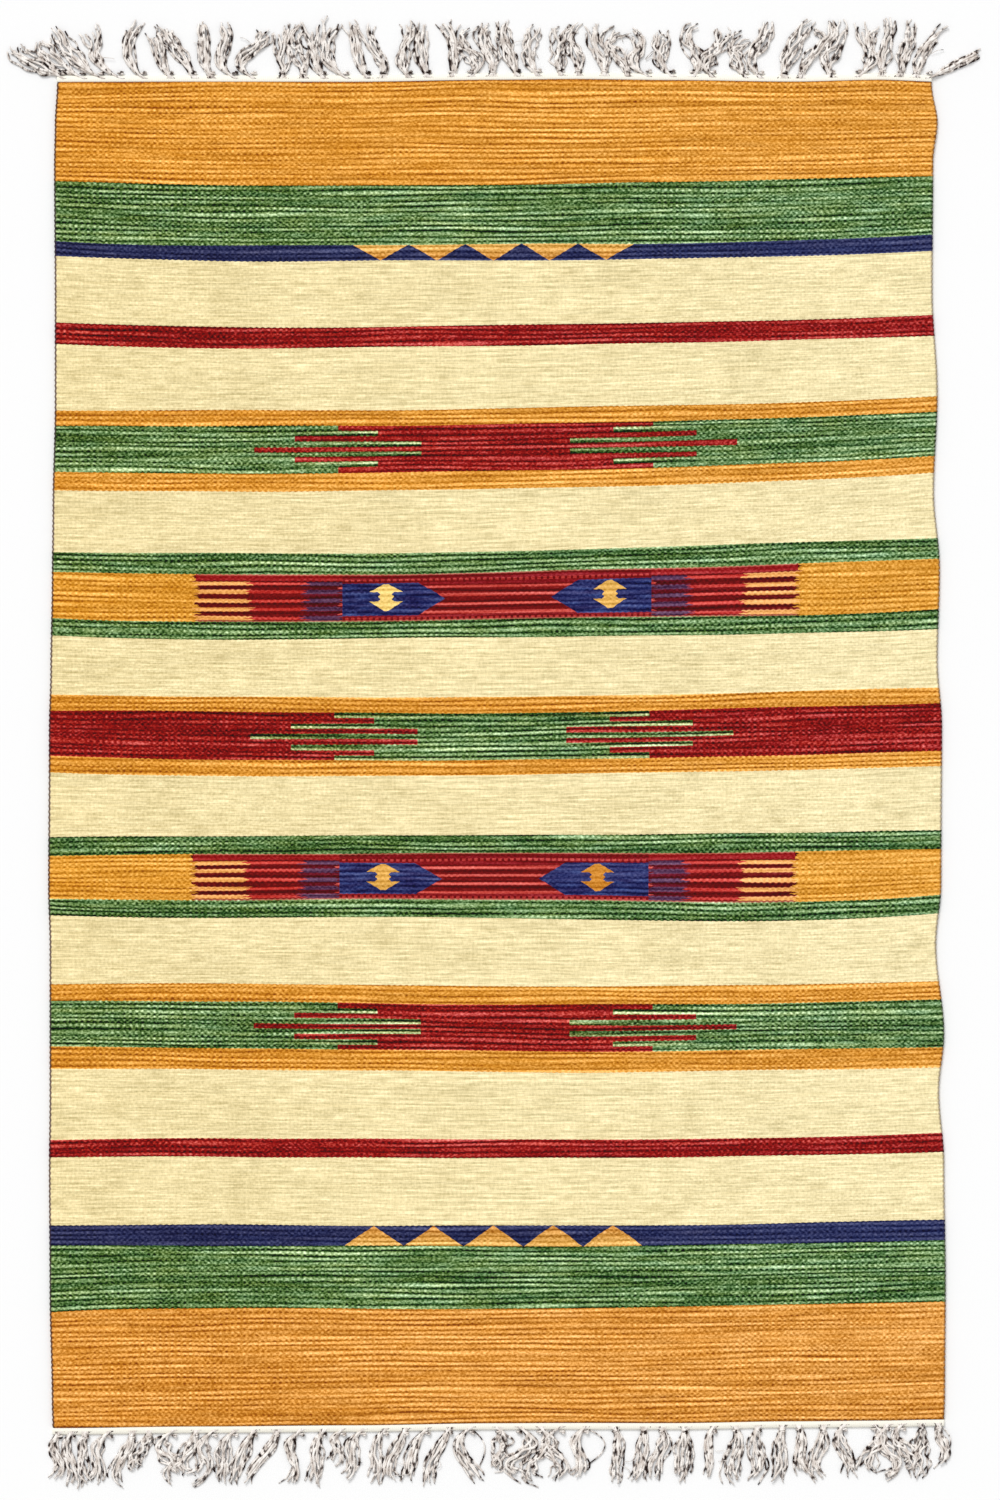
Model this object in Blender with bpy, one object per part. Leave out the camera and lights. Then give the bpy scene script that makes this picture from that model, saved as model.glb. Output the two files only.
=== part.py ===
"""A flatwoven cotton rug, 2 by 3 feet, with a fringe of knotted warp ends along both ends.

It lies flat on a floor. +Z is up and +Y runs along the warps towards the far end.
The origin is on the floor under the middle of the whole rug.
"""

from collections import namedtuple
import math

import bmesh
import bpy
from mathutils import Vector
import numpy as np

MM = 0.001
FAR, NEAR = 1, -1

# Driving sizes, in millimetres.
CLOTH_LENGTH = 912
CLOTH_THICKNESS = 3
HEADER_WIDTH = 4.5
GAP = 0.3
LOCK_HEIGHTS = (2.2, 2.8, 2.2)
LOCK_TIP_HEIGHT = 1.5
LOCK_ROOT_WIDTH = 1.3
LOCK_GAP = 0.5
TASSEL_GAP = 1.2
ROOT_DEPTH = 2
ROOT_LIFT = 0.35

# The shortest lock of a tassel, as a share of its longest, and how far its tips fan out at most.
SHORTEST_LOCK = 0.86
WIDEST_FAN = 1.1

# Shares of a lock's width: its tip's of its belly's, and its upper side's of its lower side's.
TIP_SHARE = 0.6
UPPER_SHARE = 0.7

# How finely the outline and the locks are cut.
STEPS_ALONG = 48
STEPS_ACROSS = 24
LOCK_SEGMENTS = 4
SPACING_TURNS = 60
SEEDS = {FAR: 5, NEAR: 11}

# The reach of each selvedge from the centre line, going from the far end to the near end.
Selvedge = namedtuple("Selvedge", "along left right")
SELVEDGES = (
    Selvedge(0, 299, 295.5),
    Selvedge(30, 300.5, 299.5),
    Selvedge(60, 301, 296.5),
    Selvedge(150, 300.5, 296),
    Selvedge(220, 300.5, 299.5),
    Selvedge(290, 302, 297),
    Selvedge(340, 302.5, 301),
    Selvedge(400, 303.5, 299.5),
    Selvedge(445, 304.5, 302.5),
    Selvedge(550, 305, 302),
    Selvedge(590, 304, 298.5),
    Selvedge(650, 304, 304),
    Selvedge(690, 304, 300.5),
    Selvedge(740, 304.5, 304),
    Selvedge(820, 304, 305),
    Selvedge(895, 302.5, 304.5),
    Selvedge(912, 302, 304),
)

# How far the first and the last pick bow towards the far end, going from left to right.
Bow = namedtuple("Bow", "across far near")
BOWS = (
    Bow(-300, -1.2, -3.3),
    Bow(-200, -1, -2.2),
    Bow(-100, -1.1, -1.4),
    Bow(0, 0.3, 0),
    Bow(50, 0.8, 0.2),
    Bow(120, 0.1, 0.1),
    Bow(200, -1, 1.3),
    Bow(260, 0.3, 1.8),
    Bow(300, -1, 2.5),
)

# How each tassel lies, going from left to right: where its root is, the sideways shift of its
# middle and of its tip from there, how far it reaches from the header, and how wide it spreads.
Lay = namedtuple("Lay", "root middle tip reach width")
FAR_LAY = (
    Lay(-294, -18, -31, 20, 12),
    Lay(-279.5, -20, -37, 25, 12),
    Lay(-267, -20, -38, 33, 10),
    Lay(-254, -18, -20, 34, 9),
    Lay(-239, -11, -5, 38, 8),
    Lay(-221, -7, -12, 33, 8),
    Lay(-205, -12, -22, 37, 8),
    Lay(-193, -6, -6, 40, 7),
    Lay(-177, -9, -6, 38, 8),
    Lay(-165, -3, 0, 34, 8),
    Lay(-146, 2, 5, 35, 9),
    Lay(-131, -3, -2, 35, 9),
    Lay(-117, -10, -10, 37, 9),
    Lay(-101, -14, -14, 39, 8),
    Lay(-87, -7, -12, 37, 8),
    Lay(-77, -5, -11, 37, 8),
    Lay(-59, -3, 0, 39, 9),
    Lay(-46, -6, 3, 36, 8),
    Lay(-31, 3, -4, 36, 8),
    Lay(-18, -2, -12, 33, 9),
    Lay(-3, -3, -7, 37, 9),
    Lay(15, -8, -8, 37, 9),
    Lay(29, -7, -3, 33, 9),
    Lay(44, -3, 8, 33, 8),
    Lay(56, -5, -1, 34, 8),
    Lay(74, -5, -5, 35, 9),
    Lay(90, -10, -5, 31, 8),
    Lay(104, -9, -9, 31, 8),
    Lay(120, -8, -16, 31, 9),
    Lay(133, 0, -1, 34, 9),
    Lay(147, -1, 7, 33, 9),
    Lay(170, -8, -1, 27, 8),
    Lay(180, -4, 5, 39, 9),
    Lay(195, 5, 14, 38, 9),
    Lay(206, 12, 16, 38, 8),
    Lay(228, -1, 6, 38, 10),
    Lay(245, 7, 14, 36, 9),
    Lay(262, 2, 6, 41, 8),
    Lay(274, 4, 7, 38, 8),
    Lay(285, 3, 23, 33, 8),
    Lay(292, 19, 40, 18, 7),
)
NEAR_LAY = (
    Lay(-297, -2, -2, 31, 7),
    Lay(-288, -2, -1, 38, 7),
    Lay(-279, -3, -2, 35, 7),
    Lay(-262, -9, -10, 34, 8),
    Lay(-247, -8, -8, 36, 8),
    Lay(-236, -6, -6, 26, 7),
    Lay(-219, -5, -8, 30, 10),
    Lay(-204, -9, -11, 33, 10),
    Lay(-191, -8, -11, 34, 9),
    Lay(-177, -8, -12, 34, 9),
    Lay(-164, -9, -18, 36, 9),
    Lay(-149, -8, -22, 34, 7),
    Lay(-132, -7, -12, 37, 6),
    Lay(-117, -6, -6, 39, 9),
    Lay(-104, -5, -2, 22, 6),
    Lay(-90, -8, -18, 33, 9),
    Lay(-75, -6, -5, 36, 9),
    Lay(-61, -9, -12, 34, 8),
    Lay(-46, -11, -19, 35, 8),
    Lay(-31, -10, -15, 37, 9),
    Lay(-16, -8, 3, 36, 8),
    Lay(1, 1, 3, 30, 10),
    Lay(15, 1, 7, 35, 9),
    Lay(29, -1, 4, 37, 9),
    Lay(45, -7, -8, 34, 9),
    Lay(61, -5, -16, 33, 8),
    Lay(80, 2, 3, 37, 8),
    Lay(100, -1, -5, 37, 8),
    Lay(112, -1, -2, 36, 10),
    Lay(128, -1, -2, 37, 11),
    Lay(148, -4, -5, 34, 6),
    Lay(162, -1, -1, 37, 11),
    Lay(178, -1, -1, 37, 10),
    Lay(194, -1, -7, 37, 9),
    Lay(205, 1, 5, 35, 8),
    Lay(222, -4, -3, 37, 9),
    Lay(236, -1, 2, 34, 9),
    Lay(256, 2, -4, 33, 9),
    Lay(266, 0, 0, 37, 8),
    Lay(276, 2, -2, 30, 8),
    Lay(289, -3, 4, 37, 11),
    Lay(299, 4, -1, 27, 6),
)

Tassel = namedtuple("Tassel", "root middle tip reach width fan shares")


def eased(rows, place, column):
    """A column of a table at a place between its rows, levelling out at each row."""
    places = [row[0] for row in rows]
    after = int(np.clip(np.searchsorted(places, place), 1, len(rows) - 1))
    before = after - 1
    part = np.clip((place - places[before]) / (places[after] - places[before]), 0, 1)
    part = part * part * (3 - 2 * part)
    start, end = getattr(rows[before], column), getattr(rows[after], column)
    return float(start + (end - start) * part)


def selvedges(along):
    """The left and the right edge at a distance from the far end."""
    return -eased(SELVEDGES, along, "left"), eased(SELVEDGES, along, "right")


def end_line(x, end):
    """Where the cloth stops at one end, so far across."""
    return end * CLOTH_LENGTH / 2 + eased(BOWS, x, "far" if end == FAR else "near")


def end_points(end, beyond):
    """Points from left to right along a line so far beyond one end of the cloth."""
    left, right = selvedges(0 if end == FAR else CLOTH_LENGTH)
    places = np.linspace(left, right, STEPS_ACROSS + 1)
    return [(x, end_line(x, end) + end * beyond) for x in places]


def cloth_outline():
    """The four uneven edges of the cloth, clockwise from its far left corner."""
    stations = np.linspace(0, CLOTH_LENGTH, STEPS_ALONG + 1)[1:-1]
    left = [(selvedges(along)[0], CLOTH_LENGTH / 2 - along) for along in stations]
    right = [(selvedges(along)[1], CLOTH_LENGTH / 2 - along) for along in stations]
    return end_points(FAR, 0) + right + end_points(NEAR, 0)[::-1] + left[::-1]


def header_outline(end):
    """The strip of bare warps beside one end of the cloth."""
    return end_points(end, GAP) + end_points(end, GAP + HEADER_WIDTH)[::-1]


def cotton(name, colour):
    material = bpy.data.materials.new(name)
    material.use_nodes = True
    surface = material.node_tree.nodes["Principled BSDF"]
    surface.inputs["Base Color"].default_value = (*colour, 1)
    surface.inputs["Roughness"].default_value = 0.9
    surface.inputs["Metallic"].default_value = 0
    return material


def add_sheet(name, outline, material, collection):
    """A sheet of the cloth's thickness, resting on the floor inside an outline."""
    curve = bpy.data.curves.new(name, "CURVE")
    curve.dimensions = "2D"
    curve.fill_mode = "BOTH"
    curve.extrude = CLOTH_THICKNESS / 2 * MM
    spline = curve.splines.new("POLY")
    spline.points.add(len(outline) - 1)
    for point, (x, y) in zip(spline.points, outline):
        point.co = (x * MM, y * MM, 0, 1)
    spline.use_cyclic_u = True
    drawn = bpy.data.objects.new(name, curve)
    collection.objects.link(drawn)
    seen = drawn.evaluated_get(bpy.context.evaluated_depsgraph_get())
    mesh = bpy.data.meshes.new_from_object(seen)
    bpy.data.objects.remove(drawn)

    solid = bmesh.new()
    solid.from_mesh(mesh)
    bmesh.ops.remove_doubles(solid, verts=solid.verts, dist=0.01 * MM)
    bmesh.ops.translate(solid, verts=solid.verts, vec=(0, 0, CLOTH_THICKNESS / 2 * MM))
    bmesh.ops.recalc_face_normals(solid, faces=solid.faces)
    solid.to_mesh(mesh)
    solid.free()
    mesh.name = name
    mesh.materials.clear()
    mesh.materials.append(material)
    sheet = bpy.data.objects.new(name, mesh)
    collection.objects.link(sheet)
    return sheet


def side_by_side(places, widths):
    """Places across the rug, with those that would cover each other pushed apart."""
    room = (widths[1:] + widths[:-1]) / 2 + TASSEL_GAP
    for turn in range(SPACING_TURNS):
        push = np.clip(room - np.diff(places), 0, None) / 2
        places[:-1] -= push
        places[1:] += push
    return places


def lay_tassels(lay, end):
    """The tassels of one end from left to right, each with what it needs to be shaped."""
    chance = np.random.default_rng(SEEDS[end])
    roots, middle, tip, reaches, widths = np.array(lay, dtype=float).T
    fans = chance.uniform(0, WIDEST_FAN, len(lay))
    middles = side_by_side(roots + middle, widths)
    tips = side_by_side(roots + tip, widths + 2 * fans)
    shares = chance.uniform(SHORTEST_LOCK, 1, (len(lay), len(LOCK_HEIGHTS)))
    shares /= shares.max(axis=1, keepdims=True)
    return [Tassel(*row) for row in zip(roots, middles, tips, reaches, widths, fans, shares)]


def straight_lock():
    """A lock as a four-sided bar, one unit each way along Y from 0 to 1, cut into segments."""
    bar = bmesh.new()
    bmesh.ops.create_cube(bar, size=1)
    long_edges = [edge for edge in bar.edges if edge.verts[0].co.y != edge.verts[1].co.y]
    bmesh.ops.subdivide_edges(bar, edges=long_edges, cuts=LOCK_SEGMENTS - 1)
    bmesh.ops.translate(bar, verts=bar.verts, vec=(0, 0.5, 0.5))
    mesh = bpy.data.meshes.new("straight_lock")
    bar.to_mesh(mesh)
    bar.free()
    return mesh


def lock_width(part, belly):
    """Narrow in the knot, full from the belly on, and thinner towards the tip."""
    if part < 0.5:
        return LOCK_ROOT_WIDTH + (belly - LOCK_ROOT_WIDTH) * math.sin(math.pi * part)
    return belly * (1 - (1 - TIP_SHARE) * (2 * part - 1) ** 2)


def lock_point(corner, turn, tassel, end):
    """Where a corner of the straight lock lies, for one lock of a tassel, counted from its left."""
    locks = len(LOCK_HEIGHTS)
    side = turn - (locks - 1) / 2
    belly = (tassel.width - (locks - 1) * LOCK_GAP) / locks
    part = corner.y * (1 - (1 - tassel.shares[turn]) * corner.y)
    apart = lock_width(min(part, 0.5), belly) + LOCK_GAP + tassel.fan * part ** 2
    bend = 4 * (tassel.middle - tassel.root) * part * (1 - part)
    bend += (tassel.tip - tassel.root) * part * (2 * part - 1)
    across = lock_width(corner.y, belly) * (UPPER_SHARE if corner.z > 0.5 else 1)
    lift = ROOT_LIFT if part == 0 else 0
    height = LOCK_HEIGHTS[turn] + (LOCK_TIP_HEIGHT - LOCK_HEIGHTS[turn]) * part ** 2
    reach = (tassel.reach + ROOT_DEPTH) * part - ROOT_DEPTH
    x = tassel.root + bend + side * apart + corner.x * across
    y = end_line(tassel.root, end) + end * (GAP + HEADER_WIDTH + reach)
    z = lift + corner.z * (height - lift)
    return Vector((x, y, z)) * MM


def add_locks(name, lay, end, collection):
    """The free warp ends of one end of the rug, three locks in each tassel."""
    bar = straight_lock()
    locks = bmesh.new()
    for tassel in lay_tassels(lay, end):
        for turn in range(len(LOCK_HEIGHTS)):
            known = len(locks.verts)
            locks.from_mesh(bar)
            locks.verts.ensure_lookup_table()
            for vertex in locks.verts[known:]:
                vertex.co = lock_point(vertex.co, turn, tassel, end)
    bmesh.ops.recalc_face_normals(locks, faces=locks.faces)
    mesh = bpy.data.meshes.new(name)
    locks.to_mesh(mesh)
    locks.free()
    made = bpy.data.objects.new(name, mesh)
    made.hide_render = True
    made.display_type = "WIRE"
    collection.objects.link(made)
    return made


def add_fringe(name, lay, end, material, pieces, guides):
    """One end's header strip with its tassels knotted into it."""
    fringe = add_sheet(name, header_outline(end), material, pieces)
    knotted = fringe.modifiers.new("knotted_tassels", "BOOLEAN")
    knotted.operation = "UNION"
    knotted.solver = "EXACT"
    knotted.object = add_locks(name + "_locks", lay, end, guides)
    return fringe


def stand_over_origin(pieces, guides, collection):
    """Moves everything together, so that the middle of the whole rug is over the origin."""
    seen = bpy.context.evaluated_depsgraph_get()
    corners = np.array([corner[:] for piece in pieces for corner in piece.evaluated_get(seen).bound_box])
    middle = (corners.min(axis=0) + corners.max(axis=0)) / 2
    centre = bpy.data.objects.new("rug_centre", None)
    centre.location = (-middle[0], -middle[1], 0)
    collection.objects.link(centre)
    for piece in [*pieces, *guides]:
        piece.parent = centre


for old in list(bpy.data.objects):
    bpy.data.objects.remove(old)

rug = bpy.data.collections.new("kilim_rug")
cutters = bpy.data.collections.new("joined_shapes")
bpy.context.scene.collection.children.link(rug)
bpy.context.scene.collection.children.link(cutters)

dyed = cotton("dyed_cotton_weft", (0.75, 0.42, 0.1))
undyed = cotton("undyed_cotton_warp", (0.72, 0.68, 0.6))
woven_cloth = add_sheet("woven_cloth", cloth_outline(), dyed, rug)
far_fringe = add_fringe("far_fringe", FAR_LAY, FAR, undyed, rug, cutters)
near_fringe = add_fringe("near_fringe", NEAR_LAY, NEAR, undyed, rug, cutters)
stand_over_origin([woven_cloth, far_fringe, near_fringe], cutters.objects, rug)
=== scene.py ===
"""A flatwoven cotton kilim, 2 by 3 feet, lying flat on a pale floor.

Lengths are in millimetres and become metres where a mesh or a material is made. +Z is up, +Y runs
along the warps to the far end, and the origin is on the floor under the middle of the rug.
"""

from collections import namedtuple
import math

import bpy
import numpy as np
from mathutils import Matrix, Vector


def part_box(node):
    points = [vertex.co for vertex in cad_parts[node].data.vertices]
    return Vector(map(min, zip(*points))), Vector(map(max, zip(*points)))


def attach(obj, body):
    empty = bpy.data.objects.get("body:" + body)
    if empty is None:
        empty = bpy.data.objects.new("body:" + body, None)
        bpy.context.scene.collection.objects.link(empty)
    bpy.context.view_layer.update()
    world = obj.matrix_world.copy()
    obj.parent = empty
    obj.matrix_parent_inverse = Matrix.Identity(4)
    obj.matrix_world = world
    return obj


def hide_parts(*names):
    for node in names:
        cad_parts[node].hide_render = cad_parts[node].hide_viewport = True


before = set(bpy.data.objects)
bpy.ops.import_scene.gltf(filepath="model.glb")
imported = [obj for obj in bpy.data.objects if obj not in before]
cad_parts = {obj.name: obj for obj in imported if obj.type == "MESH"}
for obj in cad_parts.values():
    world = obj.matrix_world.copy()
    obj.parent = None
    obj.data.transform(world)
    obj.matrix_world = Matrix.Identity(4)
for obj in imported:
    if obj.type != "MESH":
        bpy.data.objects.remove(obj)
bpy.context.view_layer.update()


# The floor is a plain white studio floor, lit from all round by a white sky, with one broad soft
# lamp high up beyond the far left corner. The camera hangs straight above the rug.
MM = 0.001
FLOOR_WIDTH = 60000
LAMP_TURN = (-42, -22, 0)
LAMP_SPREAD = 24
VIEW_LENGTH = 1020
VIEW_SHIFT = (2.4, 1.2)
LENS = 100
SENSOR = 36

bpy.ops.mesh.primitive_plane_add(size=FLOOR_WIDTH * MM)
floor = bpy.context.object
floor.name = "studio_floor"
pale = bpy.data.materials.new("pale_floor")
pale.use_nodes = True
pale_surface = pale.node_tree.nodes["Principled BSDF"]
pale_surface.inputs["Base Color"].default_value = (0.96, 0.96, 0.96, 1)
pale_surface.inputs["Roughness"].default_value = 0.8
floor.data.materials.append(pale)

sky = bpy.data.worlds.new("white_sky")
sky.use_nodes = True
sky.node_tree.nodes["Background"].inputs["Color"].default_value = (1, 1, 1, 1)
sky.node_tree.nodes["Background"].inputs["Strength"].default_value = 0.66
bpy.context.scene.world = sky

bpy.ops.object.light_add(type="SUN", rotation=[math.radians(angle) for angle in LAMP_TURN])
lamp = bpy.context.object
lamp.name = "soft_lamp"
lamp.data.energy = 1.7
lamp.data.angle = math.radians(LAMP_SPREAD)

camera_height = VIEW_LENGTH / SENSOR * LENS * MM
camera_place = (VIEW_SHIFT[0] * MM, VIEW_SHIFT[1] * MM, camera_height)
bpy.ops.object.camera_add(location=camera_place, rotation=(0, 0, 0))
camera = bpy.context.object
camera.name = "camera_above"
camera.data.lens = LENS
camera.data.sensor_width = SENSOR
bpy.context.scene.camera = camera
bpy.context.scene.view_settings.view_transform = "Standard"


# The cloth is a weft-faced plain weave: thin cotton warps, quite hidden by thick cotton picks that
# are beaten down hard. The dyed picks make the bands, and where colours meet within a pick they
# interlock. It lies flat and is a little uneven, because the picks bow and the selvedges wander.
WOVEN_LENGTH = 912
PICKS = 516
PICK = WOVEN_LENGTH / PICKS
WARP = 2.04
THICKNESS = 3
PICK_RIDGE = 0.15
RIDGE_PLACES = 6
RIDGE_SEED = 3
EDGE_ROUND = 1
SELVEDGE_LOOP = 0.25
ROWS_A_PICK = 2
COLUMNS = 38
EDGE_COLUMNS = (0, 0.25, 0.8, 1.7, 4)

# How dark a painted shade makes each selvedge, from 0 to 1, at some distances in from it.
EdgeShade = namedtuple("EdgeShade", "inwards left right")
EDGE_SHADE = (
    EdgeShade(0, 0.25, 0.15),
    EdgeShade(0.25, 0.75, 0.5),
    EdgeShade(0.8, 0.85, 0.3),
    EdgeShade(1.6, 0, 0),
)

# The reach of each selvedge from the centre line, going from the far end to the near end.
Selvedge = namedtuple("Selvedge", "along left right")
SELVEDGES = (
    Selvedge(0, 299, 295.5),
    Selvedge(30, 300.5, 299.5),
    Selvedge(60, 301, 296.5),
    Selvedge(150, 300.5, 296),
    Selvedge(220, 300.5, 299.5),
    Selvedge(290, 302, 297),
    Selvedge(340, 302.5, 301),
    Selvedge(400, 303.5, 299.5),
    Selvedge(445, 304.5, 302.5),
    Selvedge(550, 305, 302),
    Selvedge(590, 304, 298.5),
    Selvedge(650, 304, 304),
    Selvedge(690, 304, 300.5),
    Selvedge(740, 304.5, 304),
    Selvedge(820, 304, 305),
    Selvedge(895, 302.5, 304.5),
    Selvedge(912, 302, 304),
)

# How far the first and the last pick bow towards the far end, going from left to right.
EndBow = namedtuple("EndBow", "across far near")
END_BOWS = (
    EndBow(-300, -1.2, -3.3),
    EndBow(-200, -1, -2.2),
    EndBow(-100, -1.1, -1.4),
    EndBow(0, 0.3, 0),
    EndBow(50, 0.8, 0.2),
    EndBow(120, 0.1, 0.1),
    EndBow(200, -1, 1.3),
    EndBow(260, 0.3, 1.8),
    EndBow(300, -1, 2.5),
)

# How far a pick bows towards the far end, at five places from the left selvedge to the right one.
# Close to either end, the bow of the last pick takes over.
Bow = namedtuple("Bow", "along left mid_left centre mid_right right")
BOWS = (
    Bow(0, -1.3, -0.9, 0, 0.1, -0.8),
    Bow(72, 2, -0.3, 0, 2.5, 6.2),
    Bow(117, 2.3, -0.8, 0, 1.4, 6.4),
    Bow(173, 1.2, -1.5, 0, 2.7, 7.3),
    Bow(228, -1.4, -1.2, 0, 2.9, 8.2),
    Bow(272, -0.4, -1.7, 0, 3.4, 11.2),
    Bow(328, -0.4, -1.4, 0, 4.4, 9.5),
    Bow(372, 0.8, -1.7, 0, 1.6, 6.1),
    Bow(425, 1.5, 0.4, 0, 2.5, 6.8),
    Bow(466, 2.7, -0.6, 0, 2.3, 5.9),
    Bow(519, -2.1, -0.3, 0, 0.9, 3),
    Bow(562, 1.3, 0.3, 0, -1.8, 3.7),
    Bow(621, 2, 1.5, 0, 0.3, 2.8),
    Bow(667, 2.6, 1.4, 0, 0.3, 2.8),
    Bow(726, -0.2, 0.6, 0, 0.7, 4.3),
    Bow(785, 0.5, 0.4, 0, 1, 3.4),
    Bow(836, -2.5, 0.3, 0, 1.6, 5.2),
    Bow(912, -3.3, -1.7, 0, 0.6, 2.9),
)
BOW_REACH = 300
END_REACH = 30


def eased(rows, places, column):
    """A column of a table at places between its rows, levelling out at each row."""
    stations = np.array([row[0] for row in rows], dtype=float)
    values = np.array([getattr(row, column) for row in rows], dtype=float)
    before = np.clip(np.searchsorted(stations, places) - 1, 0, len(rows) - 2)
    part = np.clip((places - stations[before]) / np.diff(stations)[before], 0, 1)
    part = part * part * (3 - 2 * part)
    return values[before] + (values[before + 1] - values[before]) * part


def pick_bow(across, along):
    """How far the cloth is pulled towards the far end, at each of many points."""
    stations, *columns = zip(*BOWS)
    bows = np.stack([np.interp(along, stations, column) for column in columns])
    places = len(columns)
    powers = np.vander(np.linspace(-1, 1, places), places)
    curve = np.vander(across / BOW_REACH, places) @ np.linalg.inv(powers)
    inside = np.einsum("ij,ji->i", curve, bows)
    far = np.clip(1 - along / END_REACH, 0, 1)
    near = np.clip(1 - (WOVEN_LENGTH - along) / END_REACH, 0, 1)
    ends = far * eased(END_BOWS, across, "far") + near * eased(END_BOWS, across, "near")
    return inside * (1 - far - near) + ends


cloth_low, cloth_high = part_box("woven_cloth")
centre_x = cloth_low.x / MM + max(row.left for row in SELVEDGES)
far_y = cloth_high.y / MM - max(row.far for row in END_BOWS)
near_y = cloth_low.y / MM - min(row.near for row in END_BOWS)

along = np.linspace(0, WOVEN_LENGTH, PICKS * ROWS_A_PICK + 1)
turn = along / PICK / 2 % 1
loops = SELVEDGE_LOOP * np.cos(2 * math.pi * turn)
left = -eased(SELVEDGES, along, "left") + loops
right = eased(SELVEDGES, along, "right") + loops[::-1]

# Each row is a closed ring: the upper face from left to right, then the lower face back again.
margin = np.array(EDGE_COLUMNS)
inner = np.linspace(0, 1, COLUMNS)[1:-1]
stretch = np.concatenate([np.zeros(len(margin)), inner, np.ones(len(margin))])
inset = np.concatenate([margin, margin[-1] * (1 - 2 * inner), -margin[::-1]])
upper = left[:, None] + (right - left)[:, None] * stretch + inset
from_edge = np.minimum(upper - left[:, None], right[:, None] - upper)
from_end = np.minimum(along, WOVEN_LENGTH - along)[:, None]
edge_round, end_round = (
    np.sqrt(1 - (1 - np.clip(gap / EDGE_ROUND, 0, 1)) ** 2) for gap in (from_edge, from_end)
)
chance = np.random.default_rng(RIDGE_SEED)
depths = PICK_RIDGE * chance.uniform(0.3, 1, (PICKS // 2 + 1, RIDGE_PLACES))
wide = upper.shape[1]
stations = np.linspace(0, RIDGE_PLACES - 1, wide)
spread = np.stack([np.interp(stations, np.arange(RIDGE_PLACES), row) for row in depths])
ridge = spread[(along / PICK / 2 + 0.5).astype(int)] * (1 - np.abs(np.sin(math.pi * turn)))[:, None]
half = (THICKNESS / 2 - ridge) * edge_round * (0.5 + 0.5 * end_round)

ring_across = np.concatenate([upper, upper[:, -2:0:-1]], axis=1)
ring_half = np.concatenate([half, -half[:, -2:0:-1]], axis=1)
rows, ring = ring_across.shape
ring_along = np.repeat(along, ring)
ring_across = ring_across.ravel()
x = centre_x + ring_across
y = far_y - ring_along * (far_y - near_y) / WOVEN_LENGTH + pick_bow(ring_across, ring_along)
z = THICKNESS / 2 + ring_half.ravel()

corner = np.arange(ring)
following = (corner + 1) % ring
steps = np.arange(rows - 1)[:, None] * ring
sides = np.stack([steps + corner, steps + ring + corner, steps + ring + following, steps + following], -1)
top = np.arange(wide - 1)
below = (ring - top) % ring
below_next = np.where(top + 1 == wide - 1, top + 1, ring - top - 1)
far_cap = np.stack([top, top + 1, below_next, below], -1)
near_cap = far_cap[:, ::-1] + (rows - 1) * ring
faces = [list(dict.fromkeys(face)) for face in np.concatenate([far_cap, near_cap]).tolist()]

cloth_mesh = bpy.data.meshes.new("kilim_cloth")
cloth_mesh.from_pydata(np.stack([x, y, z], -1) * MM, [], sides.reshape(-1, 4).tolist() + faces)
cloth_mesh.validate()
cloth_mesh.shade_smooth()
kilim = bpy.data.objects.new("kilim_cloth", cloth_mesh)
bpy.context.collection.objects.link(kilim)

# Each point keeps its place in the flat cloth: across from the centre line, and along from the far end.
corners = np.empty(len(cloth_mesh.loops), dtype=int)
cloth_mesh.loops.foreach_get("vertex_index", corners)
in_rows = ring_across.reshape(rows, ring)
# The painted shade along each selvedge, stored on the points.
shade_in, shade_left, shade_right = zip(*EDGE_SHADE)
left_dark = np.interp(in_rows - left[:, None], shade_in, shade_left)
right_dark = np.interp(right[:, None] - in_rows, shade_in, shade_right)
darkened = cloth_mesh.attributes.new("selvedge", "FLOAT", "POINT")
darkened.data.foreach_set("value", (left_dark + right_dark).ravel())
flat_lay = cloth_mesh.uv_layers.new(name="flat_lay")
flat_lay.uv.foreach_set("vector", (np.stack([ring_across, ring_along], -1)[corners] * MM).ravel())

# The yarns by name, as they look in full light, with how far their tone strays from line to line
# and how grainy they are. The deep ones are of a second dye lot.
Yarn = namedtuple("Yarn", "red green blue stray grain")
YARNS = {
    "orange": Yarn(218, 145, 51, 78, 8),
    "deep_orange": Yarn(214, 141, 56, 82, 8),
    "green": Yarn(91, 121, 66, 142, 14),
    "deep_green": Yarn(82, 113, 58, 138, 14),
    "navy": Yarn(43, 47, 85, 56, 7),
    "cream": Yarn(244, 226, 172, 18, 44),
    "red": Yarn(140, 14, 9, 104, 8),
}

# The bands from the far end to the near end, each with its width in picks, its motif, and how far
# the motif sits to the right of the centre line.
Band = namedtuple("Band", "yarn picks motif shift", defaults=(None, 0))
BANDS = (
    Band("orange", 40),
    Band("green", 23),
    Band("navy", 6, "triangles", -2.4),
    Band("cream", 25),
    Band("red", 8),
    Band("cream", 24),
    Band("orange", 6),
    Band("green", 18, "combs", -0.8),
    Band("orange", 7),
    Band("cream", 24),
    Band("deep_green", 8),
    Band("red", 18, "arrows"),
    Band("deep_green", 7),
    Band("cream", 23),
    Band("orange", 6),
    Band("red", 18, "combs", -3.4),
    Band("orange", 6),
    Band("cream", 23),
    Band("deep_green", 7),
    Band("red", 18, "arrows", -2),
    Band("deep_green", 7),
    Band("cream", 26),
    Band("orange", 7),
    Band("green", 18, "combs", -1.2),
    Band("orange", 8),
    Band("cream", 26),
    Band("red", 7),
    Band("cream", 26),
    Band("navy", 8, "triangles", -2.4),
    Band("deep_green", 24),
    Band("deep_orange", 44),
)


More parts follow.
